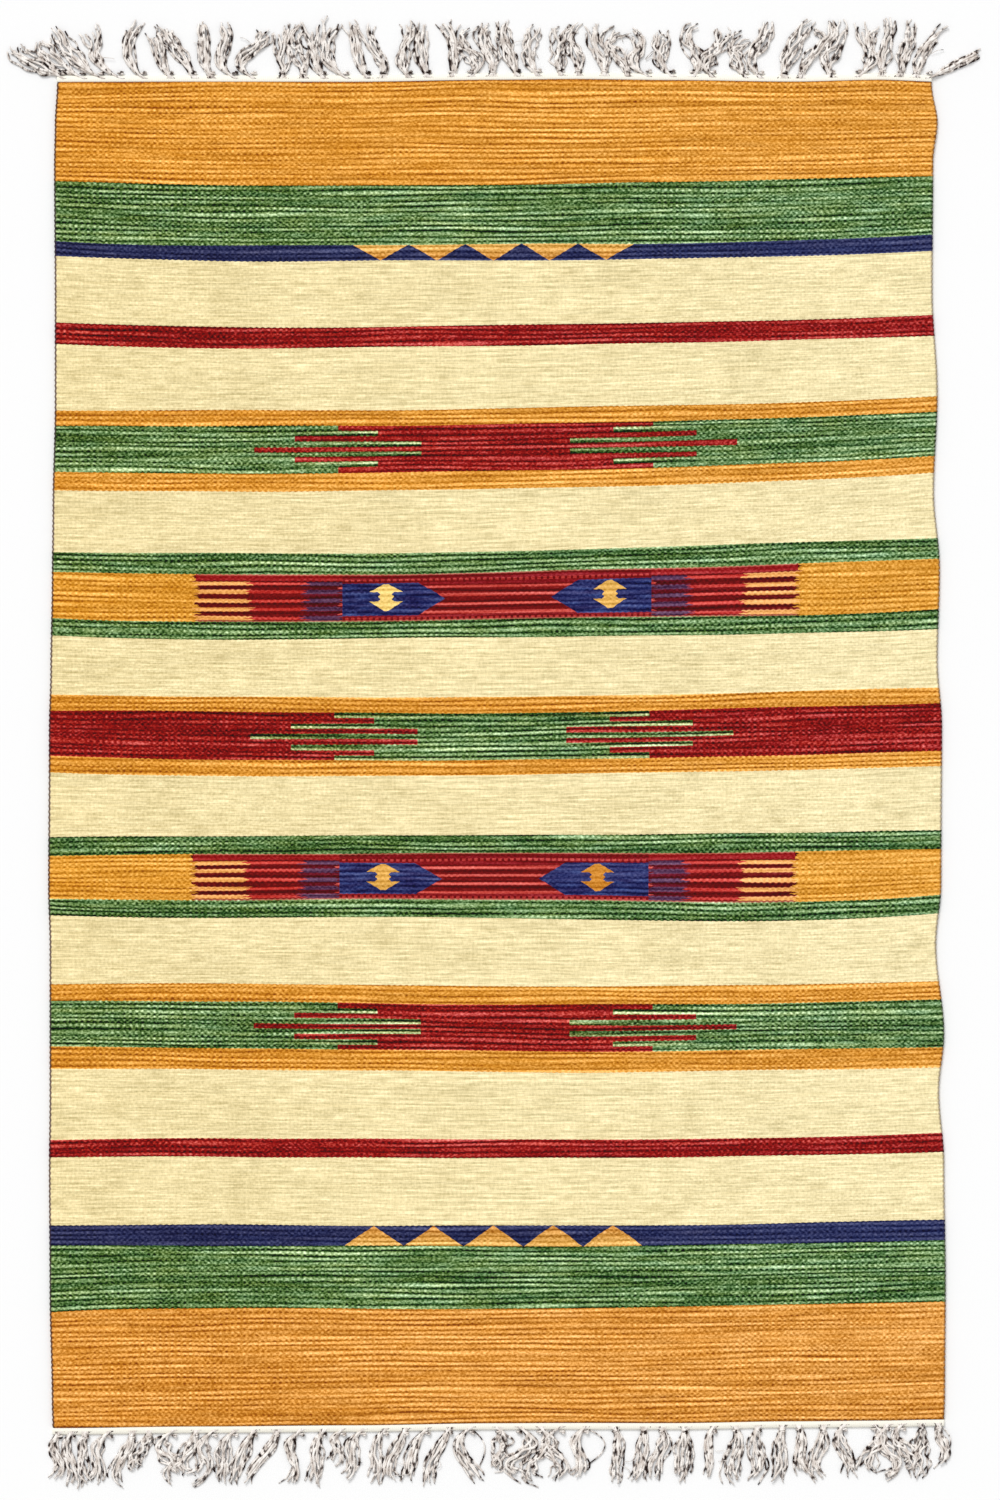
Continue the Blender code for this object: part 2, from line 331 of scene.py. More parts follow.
class Wire:
    """A value in a node tree. Arithmetic on it adds Math nodes."""

    def __init__(self, tree, socket):
        self.tree = tree
        self.socket = socket

    def math(self, operation, *others):
        node = self.tree.nodes.new("ShaderNodeMath")
        node.operation = operation
        for entry, value in zip(node.inputs, (self, *others)):
            feed(entry, value)
        return Wire(self.tree, node.outputs[0])

    def __add__(self, other):
        return self.math("ADD", other)

    def __sub__(self, other):
        return self.math("SUBTRACT", other)

    def __mul__(self, other):
        return self.math("MULTIPLY", other)

    def __truediv__(self, other):
        return self.math("DIVIDE", other)

    def __abs__(self):
        return self.math("ABSOLUTE")

    def floor(self):
        return self.math("FLOOR")

    def clipped(self):
        """Nothing below 0 or above 1."""
        return self.math("MAXIMUM", 0).math("MINIMUM", 1)

    def flipped(self):
        """1 where this is 0, and 0 where it is 1."""
        return self * -1 + 1

    def above(self, limit):
        return self.math("GREATER_THAN", limit)

    def below(self, limit):
        return self.math("LESS_THAN", limit)

    def between(self, low, high):
        return self.above(low) * self.below(high)

    def wave(self, period, shift=0):
        """A cosine of a given period, between -1 and 1."""
        return ((self + shift) * (2 * math.pi / period)).math("COSINE")


def feed(entry, value):
    """Links a wire into a socket, or sets the socket to a plain value."""
    if isinstance(value, Wire):
        value.tree.links.new(value.socket, entry)
    else:
        entry.default_value = value


def cloud(first, second, detail=0):
    """Smooth noise over two wires, mostly within -1 and 1. Its patches are about 1 wide and 1 high."""
    place = first.tree.nodes.new("ShaderNodeCombineXYZ")
    feed(place.inputs[0], first)
    feed(place.inputs[1], second)
    noise = first.tree.nodes.new("ShaderNodeTexNoise")
    noise.noise_dimensions = "2D"
    noise.inputs["Scale"].default_value = 1
    noise.inputs["Detail"].default_value = detail
    first.tree.links.new(place.outputs[0], noise.inputs["Vector"])
    return (Wire(first.tree, noise.outputs[0]) - 0.5) * 3.6


def lucky(number):
    """A fixed random value between -1 and 1 for each whole number."""
    dice = number.tree.nodes.new("ShaderNodeTexWhiteNoise")
    dice.noise_dimensions = "1D"
    feed(dice.inputs["W"], number)
    return Wire(number.tree, dice.outputs["Value"]) * 2 - 1


def blend(amount, first, second):
    """The first colour, turning into the second one as the amount goes from 0 to 1."""
    node = amount.tree.nodes.new("ShaderNodeMix")
    node.data_type = "RGBA"
    feed(node.inputs[0], amount)
    feed(node.inputs[6], first)
    feed(node.inputs[7], second)
    return Wire(amount.tree, node.outputs[2])


def tint(red, green, blue):
    return red / 255, green / 255, blue / 255, 1


def vector_math(operation, first, second):
    """One step of arithmetic on a whole colour."""
    node = first.tree.nodes.new("ShaderNodeVectorMath")
    node.operation = operation
    feed(node.inputs[0], first)
    feed(node.inputs[1], second)
    return Wire(first.tree, node.outputs[0])


def attribute(tree, name):
    """A value that the points of a mesh hold."""
    node = tree.nodes.new("ShaderNodeAttribute")
    node.attribute_name = name
    return Wire(tree, node.outputs["Fac"])


def cotton(name, lay_name, roughness, specular):
    """A material with its surface, and wires for the two directions of its own map."""
    material = bpy.data.materials.new(name)
    material.use_nodes = True
    tree = material.node_tree
    surface = tree.nodes["Principled BSDF"]
    surface.inputs["Roughness"].default_value = roughness
    surface.inputs["Specular IOR Level"].default_value = specular
    lay = tree.nodes.new("ShaderNodeUVMap")
    lay.uv_map = lay_name
    split = tree.nodes.new("ShaderNodeSeparateXYZ")
    tree.links.new(lay.outputs["UV"], split.inputs[0])
    return material, surface, Wire(tree, split.outputs[0]), Wire(tree, split.outputs[1])


def paint(surface, colour, darkest):
    """Gives a material a colour as the eye sees it, with no channel below the darkest."""
    linear = colour.tree.nodes.new("ShaderNodeGamma")
    feed(linear.inputs[0], vector_math("MAXIMUM", colour, (darkest,) * 3))
    linear.inputs[1].default_value = 2.2
    feed(surface.inputs["Base Color"], Wire(colour.tree, linear.outputs[0]))


def emboss(surface, height, strength, depth):
    """Gives a material its finest relief."""
    node = height.tree.nodes.new("ShaderNodeBump")
    node.inputs["Strength"].default_value = strength
    node.inputs["Distance"].default_value = depth * MM
    feed(node.inputs["Height"], height)
    feed(surface.inputs["Normal"], Wire(height.tree, node.outputs[0]))


def new_group(name, inputs, outputs):
    """A shader node group with number inputs. Gives its tree, its input wires and its output node."""
    tree = bpy.data.node_groups.new(name, "ShaderNodeTree")
    for label in inputs:
        tree.interface.new_socket(label, in_out="INPUT", socket_type="NodeSocketFloat")
    for label, kind in outputs.items():
        tree.interface.new_socket(label, in_out="OUTPUT", socket_type=kind)
    entry = tree.nodes.new("NodeGroupInput")
    wires = [Wire(tree, entry.outputs[label]) for label in inputs]
    return tree, wires, tree.nodes.new("NodeGroupOutput")


def place_group(group, *values):
    """Puts a group into the tree of its first value, and gives its output wires."""
    node = values[0].tree.nodes.new("ShaderNodeGroup")
    node.node_tree = group
    for entry, value in zip(node.inputs, values):
        feed(entry, value)
    return [Wire(values[0].tree, socket) for socket in node.outputs]


# Spun cotton: a slanting twist with loose fibres. Along is in millimetres, round is in turns. Its Shade
# paints the twist as slanting stripes of painted shade, over a random tone of the fibres.
spun, (spun_along, spun_round), spun_out = new_group(
    "spun_cotton", ("Along", "Round"), {"Shade": "NodeSocketFloat", "Height": "NodeSocketFloat"}
)
twist = (spun_along + spun_round * 1.3).wave(1.3)
fibres = cloud(spun_along * 2.5, spun_round * 9, 2)
feed(spun_out.inputs["Shade"], twist * 0.3 + fibres * 0.7)
feed(spun_out.inputs["Height"], twist * 0.5 + fibres * 0.5)

# Combs: nine lines of two picks, which the two colours of a band hold in turn. The reaches are how
# far out from the centre line the middle colour goes in each line. Teeth and Prongs fade away from
# the end of every other line, outwards and inwards.
COMB_REACH = (107, 80, 136.5, 50.5, 164, 50.5, 136.5, 80, 107)
TOOTH_LENGTH = 70
PRONG_LENGTH = 110
combs, (comb_across, comb_picks), comb_out = new_group(
    "interlocked_combs",
    ("Across", "Picks"),
    {"Middle": "NodeSocketFloat", "Teeth": "NodeSocketFloat", "Prongs": "NodeSocketFloat"},
)
comb_line = (comb_picks / 2).floor()
comb_limit = comb_line * 0 + COMB_REACH[0]
for number in range(1, len(COMB_REACH)):
    change = COMB_REACH[number] - COMB_REACH[number - 1]
    comb_limit = comb_limit + comb_line.above(number - 0.5) * change
feed(comb_out.inputs["Middle"], abs(comb_across).below(comb_limit))
past = abs(comb_across) - comb_limit
odd = (comb_line / 2).math("FRACT").above(0.25)
teeth = (past / -TOOTH_LENGTH + 1).math("MAXIMUM", 0) * past.above(0) * odd
prongs = (past / PRONG_LENGTH + 1).math("MAXIMUM", 0) * past.below(0) * odd.flipped()
feed(comb_out.inputs["Teeth"], teeth)
feed(comb_out.inputs["Prongs"], prongs)

# Triangles: five in a row, side by side, with their tips towards the middle of the rug.
TRIANGLE_PITCH = 39.3
TRIANGLE_COUNT = 5
triangles, (triangle_across, triangle_depth), triangle_out = new_group(
    "row_of_triangles", ("Across", "Depth"), {"Inside": "NodeSocketFloat"}
)
from_middle = abs((triangle_across / TRIANGLE_PITCH + 0.5).math("FRACT") - 0.5)
in_row = abs(triangle_across).below(TRIANGLE_COUNT / 2 * TRIANGLE_PITCH)
feed(triangle_out.inputs["Inside"], from_middle.below(triangle_depth.flipped() * 0.49) * in_row)

# Arrow band: outwards from the centre line come a striped field, a navy lozenge with a double arrow
# on it, and three blocks of lines. Lengths are from the band's centre line and from its far edge.
# Deep makes the gold of the arrows deeper, and Lean brings the right lozenge in by so much.
Block = namedtuple("Block", "out_to line width ground")
LINE_PITCH = 5.75
FIRST_LINE = 6.4
LINES_BEFORE = 1.6
LINES_AFTER = 1.7
RAGGED = 3.4
BLOCKS_END = 204.6
FIELD_END = 105
BLOCKS = (
    Block(400, (228, 158, 60), 0, (222, 151, 52)),
    Block(BLOCKS_END, (248, 176, 100), 0.48, (94, 0, 0)),
    Block(167.5, (208, 68, 60), 0.34, (104, 0, 2)),
    Block(130.5, (88, 54, 82), 0.5, (92, 4, 22)),
    Block(FIELD_END, (218, 90, 80), 0.32, (104, 0, 0)),
)
FIRST_PICKS = 4.4
HEMS = (7.4, 28)
DOTS = {"middle": 17.2, "away": 12.9, "half": 0.8}
RIMS = {"middle": 15.9, "away": 15.2, "to": 204}
LOZENGE = {"tip": 35.3, "slope": 1.65, "middle": 17.3, "far": 6.2, "near": 28.2}
ARROW = {
    "place": 75.3,
    "far": 7,
    "far_barb": 12.7,
    "near_barb": 19,
    "near": 25.4,
    "barb": 11.4,
    "point": 1.6,
    "waist": 4.6,
    "notch": 0.7,
    "notch_pitch": 3.1,
}
arrows, (arrow_across, arrow_down, arrow_deep, arrow_lean), arrow_out = new_group(
    "arrow_band",
    ("Across", "Down", "Deep", "Lean"),
    {"Color": "NodeSocketColor", "Stray": "NodeSocketFloat"},
)
out = abs(arrow_across)
ragged = out + cloud(arrow_down / 0.9, out / 30) * RAGGED
last_line = FIRST_LINE + 4 * LINE_PITCH
in_lines = arrow_down.between(FIRST_LINE - LINES_BEFORE, last_line + LINES_AFTER)
colour = None
for block in BLOCKS:
    shift = LINE_PITCH / 2 if block.out_to == FIELD_END else 0
    line = (arrow_down - (FIRST_LINE + shift)).wave(LINE_PITCH) - math.cos(math.pi * block.width)
    line = (line * 1.5 + 0.5).clipped()
    drawn = blend(line * in_lines, tint(*block.ground), tint(*block.line))
    colour = drawn if colour is None else blend(ragged.below(block.out_to), colour, drawn)
colour = blend(arrow_down.below(FIRST_PICKS) * out.below(BLOCKS_END), colour, tint(152, 26, 28))
in_field = out.below(FIELD_END)
hems = arrow_down.below(HEMS[0]).math("MAXIMUM", arrow_down.above(HEMS[1]))
colour = blend(hems * in_field, colour, tint(122, 8, 16))
dot_rows = abs(abs(arrow_down - DOTS["middle"]) - DOTS["away"]).below(DOTS["half"])
dots = arrow_across.wave(2 * WARP).above(-0.2) * dot_rows
colour = blend(dots * in_field, colour, tint(184, 58, 54))
leaning = out + arrow_across.above(0) * arrow_lean
from_tip = leaning - (abs(arrow_down - LOZENGE["middle"]) * LOZENGE["slope"] + LOZENGE["tip"])
lozenge = from_tip.above(0) * in_field * arrow_down.between(LOZENGE["far"], LOZENGE["near"])
streaks = cloud(arrow_across / 16, arrow_down / 2.6, 1) * 0.5 + 0.35
navy = blend(streaks.clipped(), tint(30, 28, 76), tint(64, 80, 134))
colour = blend(lozenge, colour, navy)
past_far = (arrow_down - ARROW["far"]) / (ARROW["far_barb"] - ARROW["far"])
past_near = (arrow_down * -1 + ARROW["near"]) / (ARROW["near"] - ARROW["near_barb"])
heads = past_far.between(0, 1) * past_far + past_near.between(0, 1) * past_near
head_reach = heads * (ARROW["barb"] - ARROW["point"]) + heads.above(0) * ARROW["point"]
notches = (arrow_down - ARROW["far_barb"]).wave(ARROW["notch_pitch"]) * ARROW["notch"] + ARROW["waist"]
waist = arrow_down.between(ARROW["far_barb"] - 0.2, ARROW["near_barb"] + 0.2) * notches
arrow = abs(leaning - ARROW["place"]).below(head_reach.math("MAXIMUM", waist))
gold = blend(arrow_deep + arrow_across.above(0) * 0.45, tint(253, 214, 124), tint(204, 130, 42))
colour = blend(arrow, colour, gold)
rims = abs(arrow_down - RIMS["middle"]).above(RIMS["away"]) * out.below(RIMS["to"])
colour = blend(rims * 0.55, colour, tint(225, 170, 130))
feed(arrow_out.inputs["Color"], colour)
feed(arrow_out.inputs["Stray"], out.above(BLOCKS_END) * 30 + 42)

dyed, surface, lay_across, lay_down = cotton("dyed_cotton_picks", "flat_lay", 0.92, 0.2)
across = lay_across / MM
down = lay_down / MM

# The picks lie as straight lines over most of the middle. Elsewhere the warps between them hold
# them a step apart, and the cloth looks chequered. They run a little aslant to the bands.
checks = (cloud(across / 26, down / 5, 1) * 0.7 + 0.46 - across.wave(400) * 0.32).clipped()
warps = across.wave(2 * WARP)
picks = down / PICK + cloud(across / 120, down / 9) * 0.25 + warps * (checks * 0.07 + 0.04)
laid = picks + cloud(across / 130, down / 12, 1) * 0.6
pair = (laid / 2).floor()
ridge_at = laid.wave(2, -1)

# The tone of the dye runs along the picks, from the longest runs to the shortest. Painted light and shade
# is added to it on the ribs of the picks and on the knuckles of the chequered weave.
long_runs = cloud(across / 70, pair * 13.7, 1)
short_runs = cloud(across / 7, pair * 7.9)
tiny_runs = cloud(across / 1.9, down / 1.1, 1)
patches = cloud(across / 120, down / 45, 1)
knuckles = ridge_at * warps * checks
fibre_shade, fibre_height = place_group(spun, across, picks / 2)
# The ribs are painted shade: lighter on the crest of each pair of picks and darker in the groove between
# them.
rib_shape = (ridge_at * 0.5 + 0.5).math("POWER", 0.6) * 1.9 - 1.06
rib_strength = cloud(across / 90, pair * 3.7) * 0.3 + 0.6 - checks * 0.32
ribs = rib_shape * rib_strength
tone = long_runs * 0.18 + lucky(pair) * 0.14 + short_runs * 0.1 + tiny_runs * 0.4 + patches * 0.03
# The knuckles paint the lumps where the warps lift the picks lighter and the dips between them darker.
tone = tone + ribs + knuckles * 0.36
speckle = cloud(across / 14, down / 1.1, 2) * 0.55 + cloud(across / 1.4, down / 6) * 0.14
speckle = speckle + cloud(across / 50, down / 20, 2) * 0.18 + fibre_shade * 0.2

# The bands are laid on in turn. In a comb, a line of green beside red has a pale half and a dark one.
MIDDLE_YARN = {"green": "red", "red": "deep_green"}
MIDDLE_PICK = PICKS / 2
ridge_line = (picks / 2).math("FRACT") - 0.5
lift = down * 0
first = YARNS[BANDS[0].yarn]
colour = tint(first.red, first.green, first.blue)
stray = down * 0 + first.stray
grain = down * 0 + first.grain
start = 0
for band in BANDS:
    yarn = YARNS[band.yarn]
    end = start + band.picks
    far_half = start < MIDDLE_PICK
    within = picks.above(start) if band is BANDS[0] else picks.between(start, end)
    colour = blend(within, colour, tint(yarn.red, yarn.green, yarn.blue))
    stray = stray + within * (yarn.stray - first.stray)
    grain = grain + within * (yarn.grain - first.grain)
    if band.motif == "combs":
        other = YARNS[MIDDLE_YARN[band.yarn]]
        middle, teeth, prongs = place_group(combs, across - band.shift, picks - start)
        colour = blend(middle * within, colour, tint(other.red, other.green, other.blue))
        stray = stray + middle * within * (other.stray - yarn.stray)
        lined = teeth if band.yarn == "green" else prongs
        pale = ridge_line.below(-0.1) * lined * within
        colour = blend(pale * 0.72, colour, tint(212, 212, 146))
        lift = lift - ridge_line.above(0) * lined * within * 0.2
    if band.motif == "triangles":
        depth = (picks - start) / band.picks
        depth = depth if far_half else depth.flipped()
        stretch = 0.975 if far_half else 1.033
        inside, = place_group(triangles, (across - band.shift) / stretch, depth)
        colour = blend(inside * within, colour, blend(depth, tint(238, 182, 96), tint(202, 132, 54)))
        stray = stray + inside * within * 14
    if band.motif == "arrows":
        deep, lean = (0, -1.5) if far_half else (0.55, 5)
        from_start = (picks - start) * PICK
        drawn, drawn_stray = place_group(arrows, across - band.shift, from_start, deep, lean)
        colour = blend(within, colour, drawn)
        stray = stray + within * (drawn_stray - yarn.stray)
    start = end

# The colour grows a little lighter and bluer towards the right side, by so much for each millimetre. The
# first and the last pick are painted darker, as the shadow of the last weft, and a painted shade darkens
# each selvedge as a dark edge line.
RIGHTWARD_DRIFT = 0.00006
END_PICK = 1.3
# The first and the last pick get a painted shade, the shadow of the last weft.
end_pick_shade = down.below(END_PICK) + down.above(WOVEN_LENGTH - END_PICK)
drift = across * RIGHTWARD_DRIFT
offset = (tone * stray + speckle * grain) / 255 + lift - end_pick_shade * 0.06 + drift
hue = (cloud(across / 30, down / 4, 1) * 0.018 + 0.004 - tone * 0.012) * stray / 100 + drift / 2
channels = across.tree.nodes.new("ShaderNodeCombineXYZ")
feed(channels.inputs[0], offset - hue * 0.7)
feed(channels.inputs[1], offset)
feed(channels.inputs[2], offset + hue)
shaded = vector_math("ADD", colour, Wire(across.tree, channels.outputs[0]))
# The selvedge attribute blends in a dark plum-brown: a painted shade along each selvedge, as a dark edge
# line.
paint(surface, blend(attribute(across.tree, "selvedge"), shaded, tint(62, 46, 54)), 0.03)
emboss(surface, ridge_at * 0.16 + knuckles * 0.3 + fibre_height * 0.25, 0.6, 0.5)
cloth_mesh.materials.append(dyed)

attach(kilim, "root")
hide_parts("woven_cloth")


# Each end of the cloth stops at a narrow white heading, where the last warps are bare. Beyond it
# they are gathered in bunches, knotted, and left as loose tassels of soft undyed cotton, which lie
# bent and crossed as they were last brushed. Both fringes are of one piece with the warps.
FAR, NEAR = 1, -1
GAP = 0.3
HEADING_WIDTH = 4.5
HEADING_SECTION = ((0, 0.1), (0, 2.1), (0.4, 2.4), (2.2, 2.3), (3.8, 2), (4.5, 1.4), (4.5, 0.1))
HEADING_RIB = 0.06
TASSEL_YARNS = 9
YARN_RADIUS = 0.75
YARN_SIDES = 6
YARN_STEPS = 22
FOOT_START = 2.2
TASSEL_GAP = 1.2
SHORTEST_YARN = 0.78
WIDEST_FAN = 1.1
SPACING_TURNS = 60
NECK_RADIUS = 1.75
NECK_TURNS = 1.25
NECK_YARN = 0.6
THREADS = 24
THREAD_RADIUS = 0.2
THREAD_SIDES = 4

# How each tassel lies, going from left to right: where its root is, the sideways shift of its
# middle and of its tip from there, how far it reaches from the heading, how wide it spreads, and
# how much its yarns tangle.
Lay = namedtuple("Lay", "root middle tip reach width tangle")
FAR_LAY = (
    Lay(-294, -18, -31, 20, 12, 0.4),
    Lay(-279.5, -20, -37, 25, 12, 0.5),
    Lay(-267, -20, -38, 33, 10, 0.5),
    Lay(-254, -18, -20, 34, 9, 0.6),
    Lay(-239, -11, -5, 38, 8, 0.3),
    Lay(-221, -7, -12, 33, 8, 0.3),
    Lay(-205, -12, -22, 37, 8, 0.5),
    Lay(-193, -6, -6, 40, 7, 0.3),
    Lay(-177, -9, -6, 38, 8, 0.4),
    Lay(-165, -3, 0, 34, 8, 1),
    Lay(-146, 2, 5, 35, 9, 0.6),
    Lay(-131, -3, -2, 35, 9, 0.6),
    Lay(-117, -10, -10, 37, 9, 0.5),
    Lay(-101, -14, -14, 39, 8, 0.5),
    Lay(-87, -7, -12, 37, 8, 0.4),
    Lay(-77, -5, -11, 37, 8, 0.4),
    Lay(-59, -3, 0, 39, 9, 0.5),
    Lay(-46, -6, 3, 36, 8, 0.3),
    Lay(-31, 3, -4, 36, 8, 0.3),
    Lay(-18, -2, -12, 33, 9, 0.7),
    Lay(-3, -3, -7, 37, 9, 0.6),
    Lay(15, -8, -8, 37, 9, 0.5),
    Lay(29, -7, -3, 33, 9, 0.5),
    Lay(44, -3, 8, 33, 8, 1),
    Lay(56, -5, -1, 34, 8, 0.8),
    Lay(74, -5, -5, 35, 9, 0.6),
    Lay(90, -10, -5, 31, 8, 0.8),
    Lay(104, -9, -9, 31, 8, 0.8),
    Lay(120, -8, -16, 31, 9, 0.6),
    Lay(133, 0, -1, 34, 9, 0.6),
    Lay(147, -1, 7, 33, 9, 0.9),
    Lay(170, -8, -1, 27, 8, 1),
    Lay(180, -4, 5, 39, 9, 0.6),
    Lay(195, 5, 14, 38, 9, 0.5),
    Lay(206, 12, 16, 38, 8, 0.7),
    Lay(228, -1, 6, 38, 10, 0.8),
    Lay(245, 7, 14, 36, 9, 0.6),
    Lay(262, 2, 6, 41, 8, 0.5),
    Lay(274, 4, 7, 38, 8, 0.5),
    Lay(285, 3, 23, 33, 8, 0.4),
    Lay(292, 19, 40, 18, 7, 0.2),
)
NEAR_LAY = (
    Lay(-297, -2, -2, 31, 7, 0.5),
    Lay(-288, -2, -1, 38, 7, 0.6),
    Lay(-279, -3, -2, 35, 7, 0.6),
    Lay(-262, -9, -10, 34, 8, 0.5),
    Lay(-247, -8, -8, 36, 8, 0.5),
    Lay(-236, -6, -6, 26, 7, 1),
    Lay(-219, -5, -8, 30, 10, 0.8),
    Lay(-204, -9, -11, 33, 10, 0.7),
    Lay(-191, -8, -11, 34, 9, 0.6),
    Lay(-177, -8, -12, 34, 9, 0.5),
    Lay(-164, -9, -18, 36, 9, 0.3),
    Lay(-149, -8, -22, 34, 7, 0.2),
    Lay(-132, -7, -12, 37, 6, 0.7),
    Lay(-117, -6, -6, 39, 9, 0.3),
    Lay(-104, -5, -2, 22, 6, 0.5),
    Lay(-90, -8, -18, 33, 9, 0.3),
    Lay(-75, -6, -5, 36, 9, 0.4),
    Lay(-61, -9, -12, 34, 8, 0.3),
    Lay(-46, -11, -19, 35, 8, 0.3),
    Lay(-31, -10, -15, 37, 9, 0.2),
    Lay(-16, -8, 3, 36, 8, 0.3),
    Lay(1, 1, 3, 30, 10, 1),
    Lay(15, 1, 7, 35, 9, 1.1),
    Lay(29, -1, 4, 37, 9, 1.1),
    Lay(45, -7, -8, 34, 9, 0.9),
    Lay(61, -5, -16, 33, 8, 0.5),
    Lay(80, 2, 3, 37, 8, 0.4),
    Lay(100, -1, -5, 37, 8, 0.3),
    Lay(112, -1, -2, 36, 10, 0.3),
    Lay(128, -1, -2, 37, 11, 0.2),
    Lay(148, -4, -5, 34, 6, 0.2),
    Lay(162, -1, -1, 37, 11, 0.3),
    Lay(178, -1, -1, 37, 10, 0.3),
    Lay(194, -1, -7, 37, 9, 0.3),
    Lay(205, 1, 5, 35, 8, 0.3),
    Lay(222, -4, -3, 37, 9, 0.4),
    Lay(236, -1, 2, 34, 9, 0.4),
    Lay(256, 2, -4, 33, 9, 0.9),
    Lay(266, 0, 0, 37, 8, 0.9),
    Lay(276, 2, -2, 30, 8, 0.9),
    Lay(289, -3, 4, 37, 11, 0.7),
    Lay(299, 4, -1, 27, 6, 0.5),
)

# Single yarns that have slipped out of their tassel at the near end and lie in a bow beside it.
Bowed = namedtuple("Bowed", "root tip bow reach")
BOWED_RADIUS = 0.42
BOWED_SHADE = 0.75
NEAR_BOWED = (
    Bowed(-17, -13, 7, 27),
    Bowed(62, 50, 16, 31),
    Bowed(301, 297, 9, 29),
)
Fringe = namedtuple("Fringe", "name node end fan_seed yarn_seed lay bowed")
FRINGES = (
    Fringe("far_tassels", "far_fringe", FAR, 5, 105, FAR_LAY, ()),
    Fringe("near_tassels", "near_fringe", NEAR, 11, 111, NEAR_LAY, NEAR_BOWED),
)


def end_line(across, end):
    """Where the cloth stops at one end, so far across from the centre line."""
    nominal = far_y if end == FAR else near_y
    return nominal + eased(END_BOWS, across, "far" if end == FAR else "near")


def side_by_side(places, widths):
    """Places across the rug, with those that would cover each other pushed apart."""
    room = (widths[1:] + widths[:-1]) / 2 + TASSEL_GAP
    for turn in range(SPACING_TURNS):
        push = np.clip(room - np.diff(places), 0, None) / 2
        places[:-1] -= push
        places[1:] += push
    return places


def lay_tassels(fringe):
    """The tassels of one end from left to right, each with what it needs to be shaped."""
    chance = np.random.default_rng(fringe.fan_seed)
    roots, middle, tip, reaches, widths, tangles = np.array(fringe.lay, dtype=float).T
    fans = chance.uniform(0, WIDEST_FAN, len(roots))
    middles = side_by_side(roots + middle, widths)
    tips = side_by_side(roots + tip, widths + 2 * fans)
    return list(zip(roots, middles, tips, reaches, widths, fans, tangles))


def tube(path, radii, sides):
    """Rings of points round a path that stays nearly level."""
    ahead = np.gradient(path, axis=0)
    ahead /= np.linalg.norm(ahead, axis=1)[:, None]
    aside = np.cross(ahead, (0, 0, 1))
    aside /= np.linalg.norm(aside, axis=1)[:, None]
    upward = np.cross(aside, ahead)
    angles = np.arange(sides) * 2 * math.pi / sides
    round_it = np.cos(angles)[:, None] * aside[:, None] + np.sin(angles)[:, None] * upward[:, None]
    return path[:, None] + np.asarray(radii)[:, None, None] * round_it


def heading(end):
    """The bare strip beside the cloth, as rings along it, with a rib on each warp."""
    along = 0 if end == FAR else WOVEN_LENGTH
    left, right = -eased(SELVEDGES, along, "left"), eased(SELVEDGES, along, "right")
    places = np.linspace(left, right, int((right - left) / WARP) * 2 + 1)
    ribs = 1 - HEADING_RIB * (np.arange(len(places)) % 2 == 0) / 2.3
    section = np.array(HEADING_SECTION)
    across = np.repeat(places[:, None], len(section), axis=1)
    out = end_line(places, end)[:, None] + end * (GAP + section[:, 0])
    return np.stack([centre_x + across, out, ribs[:, None] * section[:, 1]], -1)


def gathered(part, width, fan):
    """Half the width of a tassel: its warps meet from both sides in the knot, and open again."""
    belly = width * 0.56 - YARN_RADIUS
    shares = (0, 0.04, 0.08, 0.11, 0.33, 0.75, 1)
    halves = (4.6, 3, 1.5, 1.8, belly, belly, belly * 0.8 + fan)
    return np.interp(part, shares, halves)


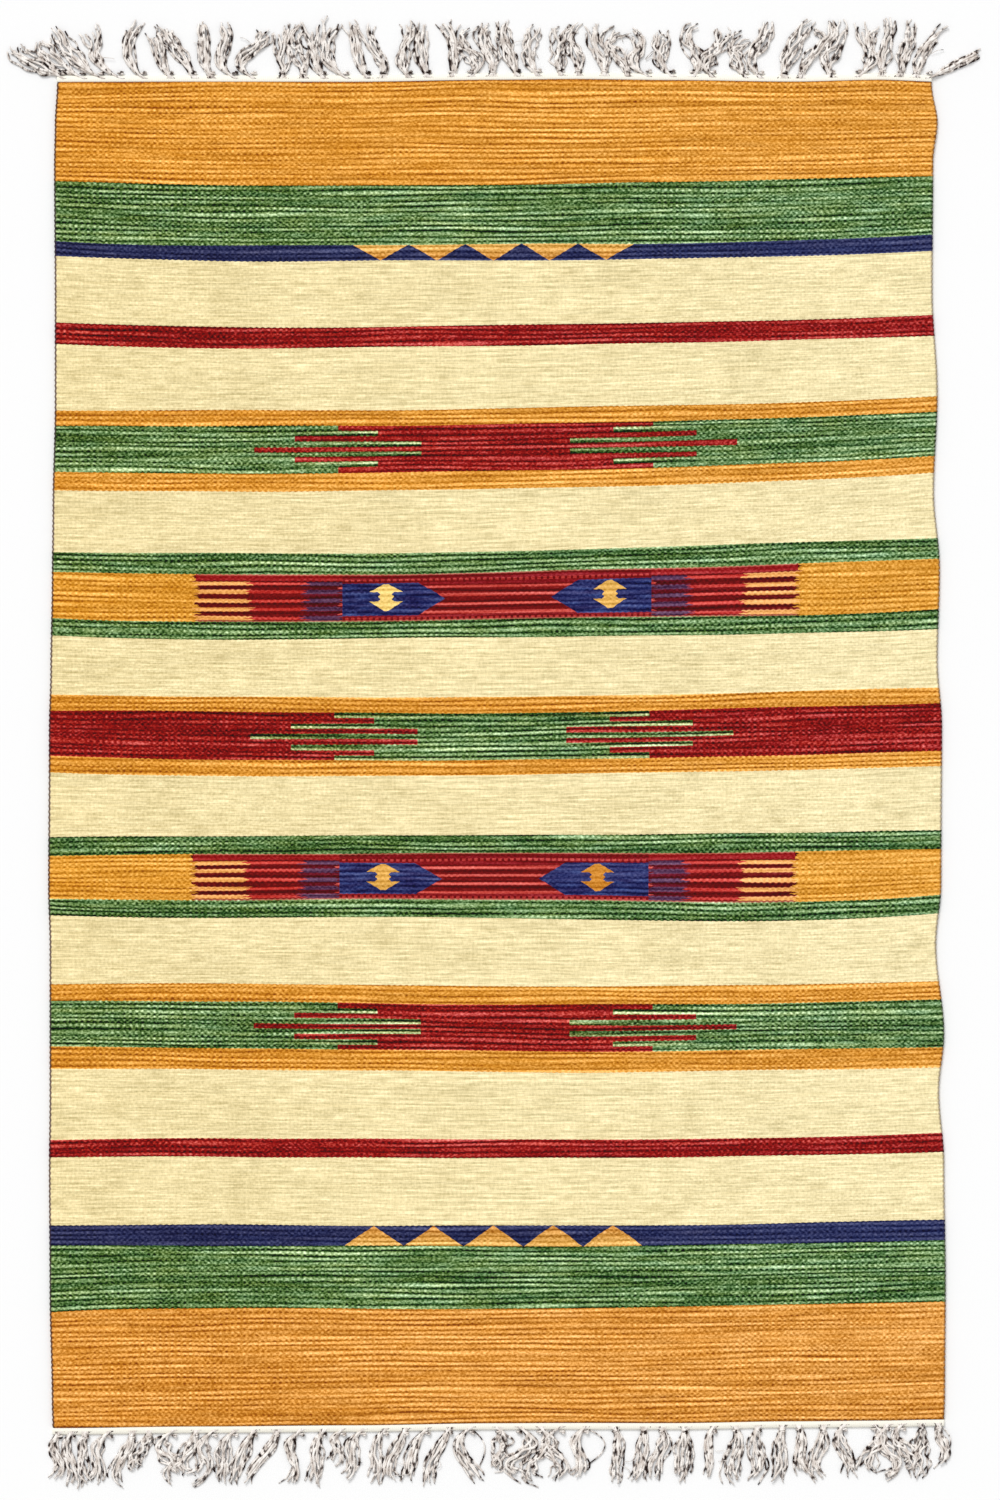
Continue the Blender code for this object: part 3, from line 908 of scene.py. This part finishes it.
def tassel_yarns(tassel, end, chance):
    """The paths, radii and shades of one tassel's yarns, and of the one wound round its neck."""
    root, middle, tip, reach, width, fan, tangle = tassel
    part = np.linspace(0, 1, YARN_STEPS + 1) ** 1.4
    hook = chance.uniform(-6, 6) * (0.2 + tangle)
    sway = chance.uniform(-5.5, 5.5) * (0.2 + tangle)
    fork = chance.uniform(-2.5, 2) * (0.5 + tangle)
    for number in range(TASSEL_YARNS):
        at = part * chance.uniform(SHORTEST_YARN, 1.02)
        ahead = at ** 0.8
        bend = 4 * (middle - root) * ahead * (1 - ahead) + (tip - root) * ahead * (2 * ahead - 1)
        bend = bend + sway * np.sin(2 * math.pi * at) + hook * np.clip(at - 0.6, 0, 1) ** 2 * 7
        curled = abs(hook) * np.clip(at - 0.7, 0, 1) ** 2 * 4
        out = GAP + FOOT_START + (reach + HEADING_WIDTH - FOOT_START) * at - curled
        slope = np.gradient(bend) / np.gradient(out)
        turned = 1 / np.sqrt(1 + slope ** 2)
        lane = 2 * number / (TASSEL_YARNS - 1) - 1
        loose = np.clip(at * 6 - 0.55, 0, 1)
        wander = np.sin(2 * math.pi * (at * chance.uniform(0.6, 1.5) + chance.uniform()))
        curl = np.sin(2 * math.pi * (at * chance.uniform(2.5, 4.5) + chance.uniform()))
        wander = (wander * (0.15 + 0.7 * tangle) + curl * (0.04 + 0.3 * tangle)) * loose
        side = gathered(at, width, fan) * (lane + wander * chance.uniform(0.5, 1))
        side = side + max(fork, 0) * math.copysign(1, lane + 0.01) * np.clip(at - 0.5, 0, 1) ** 1.5 * 6
        flare = chance.uniform(-2.5, 2.5) * np.clip(at - 0.75, 0, 1) ** 2 * 18
        across = root + bend + side * turned + flare
        beyond = out - side * turned * slope * 0.7 * loose
        layer = min(max(1 - abs(lane) * 0.8 + chance.uniform(-0.5, 0.3), 0), 1)
        thickness = YARN_RADIUS * (0.85 + 0.3 * layer) * chance.uniform(0.85, 1.1)
        knot = 1.5 + 0.75 * math.cos(math.pi * lane * 0.8)
        rise = thickness * (1.05 + layer * 1.2 + layer * 0.6 * np.sin(at * 12 + chance.uniform(0, 6)))
        height = np.interp(at, (0, 0.08), (1.9, knot)) * (1 - loose) + rise * loose
        path = np.stack([centre_x + across, end_line(across, end) + end * beyond, height], -1)
        radii = thickness * np.interp(at, (0, 0.06, 0.15, 0.8, 1), (0.7, 0.7, 1, 1, 0.5))
        # Yarns that lie low in the tassel take more painted shade.
        yield path, radii, 0.05 + (1 - layer) * 0.65 + chance.uniform(0, 0.25)
    # The yarn wound round the neck takes a painted shade, as the shadow of the knot.
    turns = np.linspace(0, NECK_TURNS, 11) * 2 * math.pi
    out = GAP + HEADING_WIDTH + 0.8 + turns * 0.2
    across = root + NECK_RADIUS * np.cos(turns) + (middle - root) * 0.1
    ring = np.stack([centre_x + across, end_line(across, end) + end * out, 1.7 + 1.1 * np.sin(turns)], -1)
    yield ring, np.full(len(ring), NECK_YARN), chance.uniform(0.3, 1.1)


def stray_threads(tassels, end, chance):
    """A few thin threads that have come loose and curl out of the tassels."""
    for number in range(THREADS):
        root, middle, tip, reach, width, fan, tangle = tassels[chance.integers(1, len(tassels) - 1)]
        at = np.linspace(0, 1, 9)
        start, turn = chance.uniform(0.3, 0.8), chance.uniform(-1, 1)
        across = root + (tip - root) * start + turn * 14 * at + chance.uniform(-3, 3) * np.sin(at * 5)
        beyond = GAP + HEADING_WIDTH + reach * start + at * chance.uniform(2, 14) * (1.1 - at * 0.6)
        height = 1.2 + 0.8 * np.sin(at * 3)
        path = np.stack([centre_x + across, end_line(across, end) + end * beyond, height], -1)
        yield path, THREAD_RADIUS + 0 * at, chance.uniform(0.1, 0.7)


def bowed_yarns(fringe):
    """The yarns that lie in a bow beside their tassel."""
    at = np.linspace(0, 1, 15)
    for yarn in fringe.bowed:
        across = yarn.root + (yarn.tip - yarn.root) * at + yarn.bow * np.sin(math.pi * at ** 0.8)
        beyond = GAP + HEADING_WIDTH + yarn.reach * at
        height = 0.45 + 1.3 * (1 - at)
        forward = end_line(across, fringe.end) + fringe.end * beyond
        path = np.stack([centre_x + across, forward, height], -1)
        yield path, BOWED_RADIUS + 0 * at, BOWED_SHADE


# Each strand holds how much painted shade it takes: 0 for the clean heading, and up to 1 for the yarns
# that lie low in a tassel, under the others. The flanks of every yarn are painted darker as well, as the
# shade on their sides, and the painted shade lies in blotches over whole tassels. The twist and the
# fibres start a little further on in each strand, so that no two strands look alike.
STRAND_SHIFT = 0.37
undyed, surface, lay_along, yarn_round = cotton("undyed_cotton_warps", "yarn_lay", 0.95, 0.15)
yarn_along = lay_along / MM
tree = undyed.node_tree
strand_shade = attribute(tree, "painted_shade")
fibre_shade, fibre_height = place_group(spun, yarn_along, yarn_round)
spot = tree.nodes.new("ShaderNodeTexCoord")
split = tree.nodes.new("ShaderNodeSeparateXYZ")
tree.links.new(spot.outputs["Object"], split.inputs[0])
in_x = Wire(tree, split.outputs[0]) / MM
in_y = Wire(tree, split.outputs[1]) / MM
shade_blotches = cloud(in_x / 2.6, in_y / 5, 1) * 0.8 + cloud(yarn_along / 4, strand_shade * 31) * 0.5
in_tassel = strand_shade.above(0.001)
haze = (cloud(in_x / 3.6, in_y / 6) * 0.55 + 0.36).clipped() * in_tassel
# topside is 1 on the top of each yarn, and flank paints its sides darker: a painted shade.
topside = yarn_round.wave(1, -0.25)
flank = ((topside * -1 + 0.4) * 2 * (shade_blotches * 0.7 + 0.42)).math("MINIMUM", 0.8)
# hollow paints the low yarns of a tassel darker: a painted shade under the upper yarns.
hollow = strand_shade * 1.7 - 1.05 + shade_blotches * 1.2
depth = flank.math("MAXIMUM", hollow).clipped() * in_tassel
clean = blend(in_tassel, tint(255, 251, 237), tint(255, 249, 243))
# The dark brown is the painted shade. Haze is a random grey tone of the yarn.
colour = blend(depth, blend(haze, clean, tint(214, 203, 194)), tint(44, 32, 28))
paint(surface, vector_math("ADD", colour, fibre_shade * 0.04), 0.05)
emboss(surface, fibre_height, 0.3, 0.25)

for fringe in FRINGES:
    tassels = lay_tassels(fringe)
    chance = np.random.default_rng(fringe.yarn_seed)
    strands = [(heading(fringe.end), 0)]
    for tassel in tassels:
        for path, radii, shade in tassel_yarns(tassel, fringe.end, chance):
            strands.append((tube(path, radii, YARN_SIDES), shade))
    for path, radii, shade in stray_threads(tassels, fringe.end, chance):
        strands.append((tube(path, radii, THREAD_SIDES), shade))
    for path, radii, shade in bowed_yarns(fringe):
        strands.append((tube(path, radii, YARN_SIDES), shade))
    points, quads, lays, strand_shades = [], [], [], []
    known = 0
    for rings, shade in strands:
        count, sides = rings.shape[:2]
        base = known + np.arange(count - 1)[:, None] * sides
        around = np.arange(sides)
        onward = (around + 1) % sides
        wall = np.stack([base + around, base + onward, base + sides + onward, base + sides + around], -1)
        quads += wall.reshape(-1, 4).tolist()
        quads += [(known + around[::-1]).tolist(), (known + (count - 1) * sides + around).tolist()]
        steps = np.linalg.norm(np.diff(rings.mean(1), axis=0), axis=1)
        length = np.concatenate([[0], np.cumsum(steps)]) + known * STRAND_SHIFT
        lays.append(np.stack([np.repeat(length, sides) * MM, np.tile(around / sides, count)], -1))
        strand_shades.append(np.full(count * sides, shade))
        points.append(rings.reshape(-1, 3))
        known += count * sides
    mesh = bpy.data.meshes.new(fringe.name)
    mesh.from_pydata(np.concatenate(points) * MM, [], quads)
    mesh.validate()
    mesh.shade_smooth()
    corners = np.empty(len(mesh.loops), dtype=int)
    mesh.loops.foreach_get("vertex_index", corners)
    mesh.uv_layers.new(name="yarn_lay").uv.foreach_set("vector", np.concatenate(lays)[corners].ravel())
    mesh.attributes.new("painted_shade", "FLOAT", "POINT").data.foreach_set("value", np.concatenate(strand_shades))
    mesh.materials.append(undyed)
    piece = bpy.data.objects.new(fringe.name, mesh)
    bpy.context.collection.objects.link(piece)
    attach(piece, "root")
    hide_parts(fringe.node)
